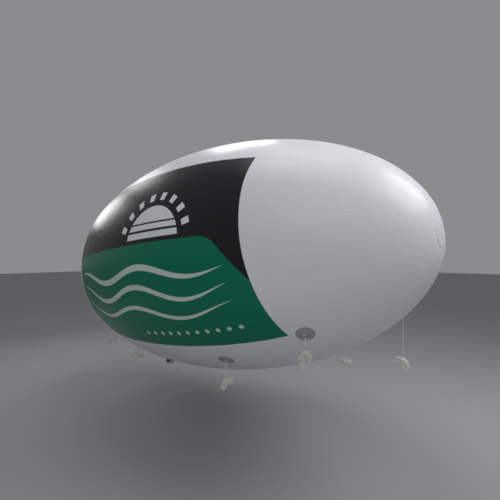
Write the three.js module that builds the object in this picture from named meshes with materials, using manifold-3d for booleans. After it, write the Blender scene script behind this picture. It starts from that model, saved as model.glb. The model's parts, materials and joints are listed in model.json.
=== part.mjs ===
// Advertising balloon: a helium envelope of welded gores, twice as long as it is round,
// with tether patches, rings and tied-up ropes below it and a filling sleeve at its belly.
// Millimetres. +Z is up, +X runs along the envelope towards its nose, -Y is its near side.
// The origin is the envelope's centre.

import * as THREE from 'three';
import { mergeVertices } from 'three/addons/utils/BufferGeometryUtils.js';
import Module from 'manifold-3d';

// Envelope
const halfLength = 2400;
const maxRadius = 1200;
const noseUp = THREE.MathUtils.degToRad(5);
const shellThickness = 10;
const goreCount = 12;
const facetsPerGore = 4;
const stationCount = 20;
const tipRadius = 70;
const capRadius = 110;
const gap = 0.3;
const mergeDistance = 0.01;
// The facets' corners stand this much outside the true ellipse, so that the facets lie on it
const facetSwell = 1.0025;

// Tether fittings
const patchRadius = 75;
const patchThickness = 3;
const discReach = 120;
const discSides = 24;
const tabLength = 60;
const tabWidth = 26;
const tabThickness = 2.5;
const eyeHeight = 12;
const eyeRadius = 3.4;
const eyeWall = 2.5;
const ringSection = 4;
const ringInnerWidth = 30;
const ringDepth = 30;
const ropeDiameter = 5;
const hankDepth = 56;

// Filling sleeve: a welded collar, an elbow and a short straight run with a hemmed mouth
const sleeveStation = -0.32;
const sleeveClock = 174;
const collarRadius = 85;
const sleeveRadius = 40;
const sleeveWall = 3;
const sleeveStandOff = 56;
const sleeveBend = 50;
const sleeveRun = 120;
const sleeveTurn = THREE.MathUtils.degToRad(20);
const sleeveSides = 16;
const hemWidth = 14;
const hemThickness = 4;

// One row for each tether. station: along the envelope, in parts of its half length.
// clock: degrees round the envelope from the top over the near side, so 180 is the keel.
// drop: from the ring's bar to the hank's lowest point. width, height: the hank's size.
const tethers = [
  { name: 'tail_near', station: -0.646, clock: 146, drop: 242, width: 100, height: 114 },
  { name: 'aft_near', station: -0.449, clock: 156, drop: 166, width: 180, height: 68 },
  { name: 'fore_near', station: 0.302, clock: 146, drop: 262, width: 118, height: 126 },
  { name: 'nose_near', station: 0.650, clock: 138, drop: 226, width: 84, height: 122 },
  { name: 'tail_far', station: -0.620, clock: 214, drop: 860, width: 230, height: 112 },
  { name: 'aft_far', station: -0.449, clock: 204, drop: 240, width: 100, height: 112 },
  { name: 'fore_far', station: 0.520, clock: 214, drop: 362, width: 120, height: 80 },
  { name: 'nose_far', station: 0.783, clock: 222, drop: 622, width: 120, height: 138 },
];

const up = new THREE.Vector3(0, 0, 1);

// Finishes
function finish(color, roughness, metalness = 0) {
  return new THREE.MeshStandardMaterial({ color, roughness, metalness });
}
const whiteVinyl = finish(0xe6e8ee, 0.32);
const patchVinyl = finish(0x66686c, 0.5);
const webbing = finish(0xd9d9d6, 0.8);
const steel = finish(0xb9bcc0, 0.3, 1);
const ropeNylon = finish(0xe4e0d8, 0.85);
const sleeveVinyl = finish(0xb8bbc2, 0.4);

const object = new THREE.Group();

function addMesh(name, geometry, material) {
  const mesh = new THREE.Mesh(geometry, material);
  mesh.name = name;
  object.add(mesh);
  return mesh;
}

// Solids for cutting and joining
const wasm = await Module();
wasm.setup();

function toSolid(geometry) {
  const bare = geometry.clone();
  bare.deleteAttribute('normal');
  bare.deleteAttribute('uv');
  const merged = mergeVertices(bare, mergeDistance);
  return new wasm.Manifold(new wasm.Mesh({
    numProp: 3,
    vertProperties: new Float32Array(merged.attributes.position.array),
    triVerts: new Uint32Array(merged.index.array),
  }));
}

function toGeometry(solid) {
  const mesh = solid.getMesh();
  const geometry = new THREE.BufferGeometry();
  geometry.setAttribute('position', new THREE.BufferAttribute(mesh.vertProperties, 3));
  geometry.setIndex(new THREE.BufferAttribute(mesh.triVerts, 1));
  geometry.computeVertexNormals();
  return geometry;
}

// The envelope's directions: along its axis, and away from the axis at a clock angle
const pitchAxis = new THREE.Vector3(0, 1, 0);
const alongAxis = new THREE.Vector3(1, 0, 0).applyAxisAngle(pitchAxis, -noseUp);
function awayFromAxis(clock) {
  const angle = THREE.MathUtils.degToRad(clock);
  return new THREE.Vector3(0, -Math.sin(angle), Math.cos(angle)).applyAxisAngle(pitchAxis, -noseUp);
}

// Points of the meridian ellipse from tail to nose, grown outwards by the given amount,
// as distance from the axis and distance along it
const tipTurn = Math.asin(tipRadius / maxRadius);
function meridian(grow) {
  const points = [];
  for (let station = 0; station <= stationCount; station += 1) {
    const turn = tipTurn + (Math.PI - 2 * tipTurn) * station / stationCount;
    points.push(new THREE.Vector2(
      (maxRadius + grow) * facetSwell * Math.sin(turn),
      -(halfLength + grow) * Math.cos(turn),
    ));
  }
  return points;
}

// A full turn of a profile about the envelope's axis, with facets that start at a seam
function revolve(profile) {
  const seamTurn = Math.PI / goreCount;
  const geometry = new THREE.LatheGeometry(
    profile, goreCount * facetsPerGore, seamTurn, 2 * Math.PI,
  );
  return geometry.rotateZ(-Math.PI / 2).rotateY(-noseUp);
}

// The whole envelope as one plug with pointed ends
function envelopePlug(grow) {
  const nose = new THREE.Vector2(0, halfLength + grow);
  const tail = new THREE.Vector2(0, -halfLength - grow);
  return revolve([tail, ...meridian(grow), nose]);
}
const plug = new THREE.Mesh(envelopePlug(0), whiteVinyl);
const overFilm = toSolid(envelopePlug(gap));
const overPatch = toSolid(envelopePlug(gap + patchThickness));

// Where the faceted envelope is met at a station and clock angle, as a frame whose
// x is level, whose y runs up or down the slope and whose z points outwards
function seatAt(station, clock) {
  const away = awayFromAxis(clock);
  const smoothRadius = maxRadius * Math.sqrt(1 - station * station);
  const smoothPoint = alongAxis.clone().multiplyScalar(station * halfLength)
    .addScaledVector(away, smoothRadius);
  const outwards = alongAxis.clone().multiplyScalar(station / halfLength)
    .addScaledVector(away, smoothRadius / (maxRadius * maxRadius)).normalize();
  const start = smoothPoint.clone().addScaledVector(outwards, maxRadius);
  const ray = new THREE.Raycaster(start, outwards.clone().negate());
  const hit = ray.intersectObject(plug)[0];
  const level = new THREE.Vector3().crossVectors(hit.face.normal, up).normalize();
  const slope = new THREE.Vector3().crossVectors(hit.face.normal, level);
  return { point: hit.point, normal: hit.face.normal.clone(), level, slope };
}

function place(xAxis, yAxis, zAxis, point) {
  return new THREE.Matrix4().makeBasis(xAxis, yAxis, zAxis).setPosition(point);
}

// A disc of film that follows the envelope's facets, lying on top of them
function weldedDisc(point, normal, radius) {
  const core = new THREE.CylinderGeometry(radius, radius, discReach, discSides);
  const turned = new THREE.Quaternion().setFromUnitVectors(pitchAxis, normal);
  core.applyQuaternion(turned).translate(point.x, point.y, point.z);
  return toGeometry(toSolid(core).intersect(overPatch).subtract(overFilm));
}

// Gores: the shell of revolution cut by wedges, with a thin gap at every seam
const outerLine = meridian(0);
const innerLine = meridian(-shellThickness).reverse();
const shell = toSolid(revolve([...outerLine, ...innerLine, outerLine[0]]));
const halfWedge = Math.PI / goreCount;
const wedgeTip = gap / 2 / Math.sin(halfWedge);
const wedgeReach = 2 * maxRadius;
const wedgeOutline = new THREE.Shape([
  new THREE.Vector2(wedgeTip, 0),
  new THREE.Vector2(wedgeTip + wedgeReach, -wedgeReach * Math.tan(halfWedge)),
  new THREE.Vector2(wedgeTip + wedgeReach, wedgeReach * Math.tan(halfWedge)),
]);
for (let gore = 0; gore < goreCount; gore += 1) {
  const away = awayFromAxis(360 * gore / goreCount);
  const across = new THREE.Vector3().crossVectors(alongAxis, away);
  const wedge = new THREE.ExtrudeGeometry(wedgeOutline, {
    depth: 3 * halfLength, bevelEnabled: false,
  });
  wedge.translate(0, 0, -1.5 * halfLength);
  wedge.applyMatrix4(place(away, across, alongAxis, new THREE.Vector3()));
  const number = String(gore + 1).padStart(2, '0');
  addMesh(`envelope_gore_${number}`, toGeometry(shell.intersect(toSolid(wedge))), whiteVinyl);
}

// End caps: dished discs welded over the gore tips
for (const [name, sign] of [['nose_cap', 1], ['tail_cap', -1]]) {
  const direction = alongAxis.clone().multiplyScalar(sign);
  const tip = direction.clone().multiplyScalar(halfLength);
  addMesh(name, weldedDisc(tip, direction, capRadius), whiteVinyl);
}

// Webbing tab: a flat foot on the patch with an eye standing on it
function tabGeometry() {
  const outline = new THREE.Shape();
  outline.moveTo(-tabLength / 2, 0);
  outline.lineTo(tabLength / 2, 0);
  outline.lineTo(tabLength / 2, tabThickness);
  outline.lineTo(eyeRadius + eyeWall, tabThickness);
  outline.lineTo(eyeRadius + eyeWall, eyeHeight);
  outline.absarc(0, eyeHeight, eyeRadius + eyeWall, 0, Math.PI);
  outline.lineTo(-eyeRadius - eyeWall, tabThickness);
  outline.lineTo(-tabLength / 2, tabThickness);
  const eye = new THREE.Path();
  eye.absarc(0, eyeHeight, eyeRadius, 0, 2 * Math.PI);
  outline.holes.push(eye);
  const geometry = new THREE.ExtrudeGeometry(outline, {
    depth: tabWidth, bevelEnabled: false, curveSegments: 6,
  });
  return geometry.translate(0, 0, -tabWidth / 2);
}

// Tether ring: a straight bar with a round bow hanging from it, bar at the origin
const ringOuter = ringInnerWidth / 2 + ringSection;
const ringSide = ringDepth - ringSection / 2 - ringOuter;
function ringGeometry() {
  const half = ringSection / 2;
  const outline = new THREE.Shape();
  outline.moveTo(-ringOuter, half);
  outline.lineTo(-ringOuter, -ringSide);
  outline.absarc(0, -ringSide, ringOuter, Math.PI, 2 * Math.PI);
  outline.lineTo(ringOuter, half);
  const inside = new THREE.Path();
  inside.moveTo(-ringInnerWidth / 2, -half);
  inside.lineTo(-ringInnerWidth / 2, -ringSide);
  inside.absarc(0, -ringSide, ringInnerWidth / 2, Math.PI, 2 * Math.PI);
  inside.lineTo(ringInnerWidth / 2, -half);
  outline.holes.push(inside);
  const geometry = new THREE.ExtrudeGeometry(outline, {
    depth: ringSection, bevelEnabled: false, curveSegments: 5,
  });
  return geometry.translate(0, 0, -half);
}

// Hank: the outer shape of a tied bundle of rope, a slab with round ends standing on z = 0
function hankGeometry(width, height) {
  const radius = Math.min(width, height) / 2;
  const outline = new THREE.Shape();
  outline.absarc(width / 2 - radius, radius, radius, -Math.PI / 2, 0);
  outline.absarc(width / 2 - radius, height - radius, radius, 0, Math.PI / 2);
  outline.absarc(radius - width / 2, height - radius, radius, Math.PI / 2, Math.PI);
  outline.absarc(radius - width / 2, radius, radius, Math.PI, 1.5 * Math.PI);
  const geometry = new THREE.ExtrudeGeometry(outline, {
    depth: hankDepth, bevelEnabled: false, curveSegments: 3,
  });
  return geometry.translate(0, 0, -hankDepth / 2).rotateX(Math.PI / 2);
}

// Tethers: patch, tab, ring, rope and hank
const eyeStandOff = 2 * gap + patchThickness + eyeHeight;
for (const row of tethers) {
  const seat = seatAt(row.station, row.clock);
  addMesh(`tether_patch_${row.name}`, weldedDisc(seat.point, seat.normal, patchRadius), patchVinyl);

  const foot = seat.point.clone().addScaledVector(seat.normal, 2 * gap + patchThickness);
  const tab = tabGeometry().applyMatrix4(place(seat.slope, seat.normal, seat.level, foot));
  addMesh(`tether_tab_${row.name}`, tab, webbing);

  const bar = seat.point.clone().addScaledVector(seat.normal, eyeStandOff);
  const acrossRing = new THREE.Vector3().crossVectors(seat.level, up);
  const ring = ringGeometry().applyMatrix4(place(seat.level, up, acrossRing, bar));
  addMesh(`tether_ring_${row.name}`, ring, steel);

  const hankBottom = bar.z - row.drop;
  const ropeTop = bar.z - ringDepth + ringSection / 2 - gap;
  const ropeBottom = hankBottom + row.height + gap;
  const ropeSection = new THREE.Shape();
  ropeSection.absarc(0, 0, ropeDiameter / 2, 0, 2 * Math.PI);
  const rope = new THREE.ExtrudeGeometry(ropeSection, {
    depth: ropeTop - ropeBottom, bevelEnabled: false, curveSegments: 4,
  });
  addMesh(`tether_rope_${row.name}`, rope.translate(bar.x, bar.y, ropeBottom), ropeNylon);

  const hank = hankGeometry(row.width, row.height).translate(bar.x, bar.y, hankBottom);
  addMesh(`rope_hank_${row.name}`, hank, ropeNylon);
}

// Filling sleeve: it leaves its collar along the film's normal and turns to the near side
// and a little towards the nose
const sleeveSeat = seatAt(sleeveStation, sleeveClock);
addMesh('sleeve_collar', weldedDisc(sleeveSeat.point, sleeveSeat.normal, collarRadius), patchVinyl);

const mouthWay = new THREE.Vector3(0, -1, 0).applyAxisAngle(up, sleeveTurn);
const sleeveStart = sleeveSeat.point.clone()
  .addScaledVector(sleeveSeat.normal, 2 * gap + patchThickness);
const corner = sleeveStart.clone().addScaledVector(sleeveSeat.normal, sleeveStandOff);
const mouth = corner.clone().addScaledVector(mouthWay, sleeveRun);
const elbowStart = corner.clone().addScaledVector(sleeveSeat.normal, -sleeveBend);
const elbowEnd = corner.clone().addScaledVector(mouthWay, sleeveBend);
const sleevePath = new THREE.CurvePath();
sleevePath.add(new THREE.LineCurve3(sleeveStart, elbowStart));
sleevePath.add(new THREE.QuadraticBezierCurve3(elbowStart, corner, elbowEnd));
sleevePath.add(new THREE.LineCurve3(elbowEnd, mouth));

function tubeSection(innerRadius, outerRadius) {
  const section = new THREE.Shape();
  section.absarc(0, 0, outerRadius, 0, 2 * Math.PI);
  const hollow = new THREE.Path();
  hollow.absarc(0, 0, innerRadius, 0, 2 * Math.PI);
  section.holes.push(hollow);
  return section;
}
const sleeve = new THREE.ExtrudeGeometry(tubeSection(sleeveRadius - sleeveWall, sleeveRadius), {
  steps: 10, extrudePath: sleevePath, curveSegments: sleeveSides / 2,
});
addMesh('filling_sleeve', sleeve, sleeveVinyl);

// The hem's flats clear the sleeve's corners, however the two are turned
const hemBore = (sleeveRadius + gap) / Math.cos(Math.PI / sleeveSides);
const hem = new THREE.ExtrudeGeometry(tubeSection(hemBore, hemBore + hemThickness), {
  depth: hemWidth, bevelEnabled: false, curveSegments: sleeveSides / 2,
});
const hemStart = mouth.clone().addScaledVector(mouthWay, -hemWidth);
hem.rotateX(Math.PI / 2).rotateZ(sleeveTurn).translate(hemStart.x, hemStart.y, hemStart.z);
addMesh('sleeve_hem', hem, sleeveVinyl);

export default object;
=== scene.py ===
import json

import bpy
import numpy as np
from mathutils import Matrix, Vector


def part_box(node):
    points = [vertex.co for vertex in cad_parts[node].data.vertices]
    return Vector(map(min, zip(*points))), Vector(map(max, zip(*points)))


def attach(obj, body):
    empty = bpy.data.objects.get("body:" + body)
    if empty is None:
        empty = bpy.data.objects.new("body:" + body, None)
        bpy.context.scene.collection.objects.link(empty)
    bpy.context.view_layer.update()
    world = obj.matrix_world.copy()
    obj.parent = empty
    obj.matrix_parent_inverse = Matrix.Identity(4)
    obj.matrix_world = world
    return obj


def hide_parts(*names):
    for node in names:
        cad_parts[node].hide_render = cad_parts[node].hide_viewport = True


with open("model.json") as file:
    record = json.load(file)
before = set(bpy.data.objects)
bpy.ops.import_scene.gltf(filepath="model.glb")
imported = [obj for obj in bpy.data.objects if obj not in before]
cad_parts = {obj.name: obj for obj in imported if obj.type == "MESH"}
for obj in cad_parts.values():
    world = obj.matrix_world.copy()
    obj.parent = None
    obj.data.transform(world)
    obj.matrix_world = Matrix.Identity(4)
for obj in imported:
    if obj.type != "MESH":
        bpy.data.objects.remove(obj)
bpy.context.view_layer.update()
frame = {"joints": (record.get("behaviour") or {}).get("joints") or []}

mm = 0.001
upWay = np.array([0.0, 0.0, 1.0])

# The photograph's viewing angle: the lens is given by its focal length in picture pixels
cameraSet = {
    "place": (3.133, -2.905, 0.048),
    "looks": (-0.6707, 0.7418, 0.0136),
    "focalPixels": 365.0,
    "picturePixels": 500.0,
    "sensorWidth": 36.0,
    "clipEnd": 500.0,
}


def makeCamera():
    lens = bpy.data.cameras.new("photoCamera")
    lens.sensor_width = cameraSet["sensorWidth"]
    lens.lens = cameraSet["sensorWidth"] * cameraSet["focalPixels"] / cameraSet["picturePixels"]
    lens.clip_end = cameraSet["clipEnd"]
    camera = bpy.data.objects.new("photoCamera", lens)
    camera.location = cameraSet["place"]
    camera.rotation_euler = Vector(cameraSet["looks"]).to_track_quat("-Z", "Y").to_euler()
    bpy.context.scene.collection.objects.link(camera)
    bpy.context.scene.camera = camera


makeCamera()
print("camera placed")


# Lines and surfaces

def unit(vectors):
    return vectors / np.maximum(np.linalg.norm(vectors, axis=-1, keepdims=True), 1e-12)


# How far along a line each of its points is
def runOf(path):
    return np.concatenate([[0.0], np.cumsum(np.linalg.norm(np.diff(path, axis=0), axis=1))])


def pointsAt(at, run, points):
    return np.stack([np.interp(at, run, points[:, k]) for k in range(3)], axis=1)


def roundAngles(count):
    return 2.0 * np.pi * np.arange(count) / count


# An S from 0 to 1, flat past both
def eased(share):
    share = np.clip(share, 0.0, 1.0)
    return share * share * (3.0 - 2.0 * share)


# A cosine or sine bent by a power, below 1 for a squarer outline, with its sign kept
def bent(value, power):
    return np.sign(value) * np.abs(value) ** power


# Points at equal steps along straight stretches, their corners rounded by a bell-shaped running
# mean. Both ends stay where they are, because the line is carried on past them by its own half turn.
def evenPath(points, step, blur=0.0):
    points = np.asarray(points, float)
    reach = runOf(points)
    at = np.linspace(0.0, reach[-1], max(int(reach[-1] / step), 2) + 1)
    line = pointsAt(at, reach, points)
    if blur > 0.0:
        half = int(np.ceil(3.0 * blur / step))
        weights = np.exp(-0.5 * (np.arange(-half, half + 1) * step / blur) ** 2)
        weights /= weights.sum()
        before = 2.0 * line[0] - line[half:0:-1]
        after = 2.0 * line[-1] - line[-2:-half - 2:-1]
        longer = np.concatenate([before, line, after])
        line = np.stack([np.convolve(longer[:, k], weights, mode="valid") for k in range(3)], axis=1)
    return line


# A closed outline carried along a path: at each point of the path its first number is laid off along
# the side way, which is the reference way made square to the path, and its second along their cross.
def sweptGrid(path, outline, reference, closed=False, swell=None):
    if closed:
        ways = np.roll(path, -1, axis=0) - np.roll(path, 1, axis=0)
    else:
        ways = np.gradient(path, axis=0)
    ways = unit(ways)
    reference = np.broadcast_to(np.asarray(reference, float), path.shape)
    side = unit(reference - (reference * ways).sum(1, keepdims=True) * ways)
    other = np.cross(ways, side)
    scale = np.ones(len(path)) if swell is None else swell
    first = scale[:, None] * outline[None, :, 0]
    second = scale[:, None] * outline[None, :, 1]
    return path[:, None] + first[:, :, None] * side[:, None] + second[:, :, None] * other[:, None]


def circleOutline(radius, sides):
    angle = roundAngles(sides)
    return radius * np.stack([np.cos(angle), np.sin(angle)], axis=1)


# A strap's section: a flat oblong with round edges, by a power curve of the circle's cosine and sine
def strapOutline(width, thickness, sides):
    angle = roundAngles(sides)
    flat = bent(np.cos(angle), 0.75) * width / 2.0
    thick = bent(np.sin(angle), 0.22) * thickness / 2.0
    return np.stack([flat, thick], axis=1)


# The corners of a grid's cells: as rows and columns, which run one past the end where the grid is
# joined to its start, and as numbers of its points
def cellCorners(rows, columns, around=False, along=False):
    r, c = np.meshgrid(np.arange(rows - 1 + along), np.arange(columns - 1 + around), indexing="ij")
    r, c = r.ravel(), c.ravel()
    corners = [(r, c), (r, c + 1), (r + 1, c + 1), (r + 1, c)]
    return corners, np.stack([(a % rows) * columns + b % columns for a, b in corners], axis=1)


# A mesh from a grid of points, rows by columns, one quad for each cell. With around the last column
# joins the first, with along the last row joins the first, and a pole is one point that closes an
# end row. Faces are turned so that they point away from the centre, which for a closed body can be
# any point. The UV map holds each corner's place on the surface.
def surfaceMesh(name, grid, around=False, along=False, poles=(False, False), centre=None,
                uvAround=None, uvAlong=None):
    rows, columns = grid.shape[:2]
    uvAround = np.linspace(0.0, 1.0, columns + around) if uvAround is None else uvAround
    uvAlong = np.linspace(0.0, 1.0, rows + along) if uvAlong is None else uvAlong
    corners, quads = cellCorners(rows, columns, around, along)
    quadUv = np.stack([np.stack([uvAround[b], uvAlong[a]], axis=1) for a, b in corners], axis=1)
    points = grid.reshape(-1, 3)
    centre = points.mean(0) if centre is None else np.asarray(centre, float)
    c = np.arange(columns - 1 + around)
    faces, uv = quads.tolist(), [quadUv.reshape(-1, 2)]
    for present, row, order in ((poles[0], 0, (2, 1, 0)), (poles[1], rows - 1, (0, 1, 2))):
        if present:
            pole = np.full_like(c, len(points))
            points = np.concatenate([points, grid[row].mean(0, keepdims=True)])
            rim = np.stack([row * columns + c % columns, row * columns + (c + 1) % columns, pole], axis=1)
            middle = (uvAround[c] + uvAround[c + 1]) / 2
            rimUv = np.stack([np.stack([u, uvAlong[row] + 0 * c], axis=1)
                              for u in (uvAround[c], uvAround[c + 1], middle)], axis=1)
            faces += rim[:, order].tolist()
            uv.append(rimUv[:, order].reshape(-1, 2))
    a, b, d = points[quads[:, 0]], points[quads[:, 1]], points[quads[:, 3]]
    if (np.cross(b - a, d - a) * (a - centre)).sum() < 0.0:
        faces = [face[::-1] for face in faces]
        quadPart = quadUv[:, ::-1].reshape(-1, 2)
        uv = [quadPart] + [part.reshape(-1, 3, 2)[:, ::-1].reshape(-1, 2) for part in uv[1:]]
    return makePiece(name, points, faces, np.concatenate(uv))


def makePiece(name, points, faces, uv=None):
    mesh = bpy.data.meshes.new(name)
    mesh.from_pydata(points.tolist(), [], faces)
    if uv is not None:
        layer = mesh.uv_layers.new(name="surfaceUV")
        layer.data.foreach_set("uv", np.ascontiguousarray(uv, dtype=np.float32).ravel())
    mesh.polygons.foreach_set("use_smooth", np.ones(len(mesh.polygons), dtype=bool))
    mesh.update()
    piece = bpy.data.objects.new(name, mesh)
    bpy.context.scene.collection.objects.link(piece)
    return piece


# A round tube along a line, with closed ends. Its UV map runs once round it, and along it in metres.
def tubePiece(name, path, radius, sides, reference, closed=False, swell=None):
    grid = sweptGrid(path, circleOutline(radius, sides), reference, closed, swell)
    run = runOf(path)
    if closed:
        run = np.append(run, run[-1] + np.linalg.norm(path[0] - path[-1]))
    return surfaceMesh(name, grid, around=True, along=closed, poles=(not closed, not closed), uvAlong=run)


def finishPiece(piece, body, material, replaced=()):
    piece.data.materials.append(material)
    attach(piece, body)
    if replaced:
        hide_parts(*replaced)


# The hull: an ellipsoid of revolution about an axis that points a little upwards at the nose.
# clock is the angle round the axis from the top over the near side, so 180 degrees is the keel.
hull = {
    "halfLength": 2.4,
    "radius": 1.2,
    "noseUp": np.radians(5.0),
    "goreCount": 12,
}
noseWay = np.array([np.cos(hull["noseUp"]), 0.0, np.sin(hull["noseUp"])])
topWay = np.array([-np.sin(hull["noseUp"]), 0.0, np.cos(hull["noseUp"])])
nearWay = np.array([0.0, -1.0, 0.0])


# turn runs from 0 at the tail's tip to pi at the nose's. The point is minus the half length times its
# cosine along the axis and the radius times its sine away from it, then lifted along the normal.
def hullPoint(turn, clock, lift=0.0):
    turn, clock, lift = np.broadcast_arrays(np.asarray(turn, float), clock, lift)
    along = -hull["halfLength"] * np.cos(turn)
    out = hull["radius"] * np.sin(turn)
    leanAlong = along / hull["halfLength"] ** 2
    leanOut = out / hull["radius"] ** 2
    lean = np.hypot(leanAlong, leanOut)
    along = along + lift * leanAlong / lean
    out = out + lift * leanOut / lean
    away = np.cos(clock)[..., None] * topWay + np.sin(clock)[..., None] * nearWay
    return along[..., None] * noseWay + out[..., None] * away


def hullNormal(turn, clock):
    return unit(hullPoint(turn, clock, 1.0 * mm) - hullPoint(turn, clock))


# Points near the hull, moved straight away from its axis onto it and lifted along its normal
def drape(points, lift=0.0):
    turn = np.arccos(np.clip(-(points @ noseWay) / hull["halfLength"], -1.0, 1.0))
    clock = np.arctan2(points @ nearWay, points @ topWay)
    return hullPoint(turn, clock, lift)


# The nearest place of the hull to a point: its normal there, the level way along the film, the
# way down the slope, and how high the point stands. It slides the foot by the error along the film.
def hullSeat(point):
    foot = drape(point)
    for _ in range(12):
        turn = np.arccos(-(foot @ noseWay) / hull["halfLength"])
        clock = np.arctan2(foot @ nearWay, foot @ topWay)
        normal = hullNormal(turn, clock)
        foot = drape(foot + (point - foot) - ((point - foot) @ normal) * normal)
    level = unit(np.cross(normal, upWay))
    return {"foot": foot, "normal": normal, "level": level, "slope": np.cross(normal, level),
            "height": float((point - foot) @ normal)}


# Lengths along the meridian from the tail's tip, for surfaces that are laid out in metres
turnTable = np.linspace(0.0, np.pi, 4001)
turnStep = turnTable[1] - turnTable[0]
meridianSpeed = np.hypot(hull["halfLength"] * np.sin(turnTable), hull["radius"] * np.cos(turnTable))
meridianTable = np.concatenate([[0.0], np.cumsum((meridianSpeed[1:] + meridianSpeed[:-1]) / 2 * turnStep)])
meridianLength = meridianTable[-1]


def turnAt(length):
    return np.interp(length, meridianTable, turnTable)


# Tether ropes. They come before the looks, because their room outside the view is limited.
rope = {
    "diameter": 5.0 * mm,
    "length": 2.2,             # each tether rope, from its ring to its end knot
    "sides": 12,
    "step": 3.5 * mm,
    "blur": 4.2 * mm,          # the rounding of its whole line
    "loopPoints": 121,
    "legPoints": 240,
    "startBelowBar": 36.0 * mm,
    "exitBelowBar": 28.0 * mm,
    "foldRadius": 17.0 * mm,   # round the end of a hank's loop
    "strandGap": 2.7 * mm,     # half the space between a loop's two strands at the tie
    "pitch": 5.5 * mm,         # from one turn to the next, at the tie
    "fan": 0.35,               # how much the turns spread towards the loops' ends
    "stackTilt": 28.0,         # the turns lie beside each other in a row tilted this much, in degrees
    "shorter": 0.20,           # how much shorter than the longest loop the shortest is
    "bendRun": 20.0 * mm,      # how soon a loop's line bends from level down to its droop
    "tieDrop": 21.0 * mm,      # from the hank's top to the middle of its tie
    "turned": 14.0,            # hanks about the vertical, in degrees from along the balloon
    "rowStart": 0.37,          # from one tether to the next, where its loops' shares below start
    "swingSteps": (0.618, 0.2),    # from one loop to the next, and to each side of its middle
    "reachSteps": (0.755, 0.3),
}

# One row for each tether. turns: how often the rope goes round its hank. right and left: how far each
# half of the hank droops from level, in degrees, and how far it reaches, in millimetres. swing: how
# far the loops are spread to both sides of that, in degrees. tail: the free end below the tie, in mm.
tetherRows = [
    {"name": "tail_near", "turns": 5.5, "right": (72, 86), "left": (70, 92), "swing": 6, "tail": 78},
    {"name": "aft_near", "turns": 4.5, "right": (8, 110), "left": (14, 116), "swing": 8, "tail": 46},
    {"name": "fore_near", "turns": 5.5, "right": (10, 76), "left": (100, 108), "swing": 8, "tail": 80},
    {"name": "nose_near", "turns": 5.5, "right": (76, 70), "left": (90, 106), "swing": 10, "tail": 124},
    {"name": "tail_far", "turns": 3.0, "right": (26, 112), "left": (14, 118), "swing": 8, "tail": 88},
    {"name": "aft_far", "turns": 5.5, "right": (70, 86), "left": (64, 86), "swing": 6, "tail": 78},
    {"name": "fore_far", "turns": 6.5, "right": (34, 54), "left": (16, 82), "swing": 9, "tail": 56},
    {"name": "nose_far", "turns": 4.5, "right": (92, 104), "left": (10, 84), "swing": 7, "tail": 104},
]


# One loop of a hank, from the tie out along one strand and back along the other. With t from 0 to a
# full turn it goes out by the reach times (1 - cos t) / 2, and away from the leg's own line by the
# belly times sin t times sin squared of t / 2. The leg starts level and bends down to its droop.
def hankLoop(side, droop, reach, depthStart, depthEnd):
    t = np.linspace(0.0, 2.0 * np.pi, rope["loopPoints"])
    steps = np.linspace(0.0, reach, rope["legPoints"])
    heading = droop * (1.0 - np.exp(-steps / rope["bendRun"]))
    stride = steps[1] - steps[0]
    lineX = np.cumsum(np.cos(heading)) * stride - stride
    lineZ = -np.cumsum(np.sin(heading)) * stride
    along = reach * (1.0 - np.cos(t)) / 2.0
    belly = np.sqrt(rope["foldRadius"] * reach / 2.0)
    across = belly * np.sin(t) * np.sin(t / 2.0) ** 2 + rope["strandGap"] * np.cos(t / 2.0)
    across = across * side
    lean = np.interp(along, steps, heading)
    x = np.interp(along, steps, lineX) + across * np.sin(lean)
    z = np.interp(along, steps, lineZ) + across * np.cos(lean)
    share = eased(t / (2.0 * np.pi))
    depth = (depthStart + (depthEnd - depthStart) * share) * (1.0 + rope["fan"] * along / reach)
    return np.stack([side * x, depth, z + depth * np.tan(np.radians(rope["stackTilt"]))], axis=1)


def hankTurned(points):
    turn = np.radians(rope["turned"])
    straight, aside = np.cos(turn), np.sin(turn)
    return points @ np.array([[straight, aside, 0.0], [-aside, straight, 0.0], [0.0, 0.0, 1.0]])


# A share from 0 to 1 for one side of a loop. It steps on by less than 1 and starts again past 1, so
# that neighbours differ.
def loopShare(start, turn, side, steps):
    return (start + turn * steps[0] + side * steps[1]) % 1.0


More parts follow.
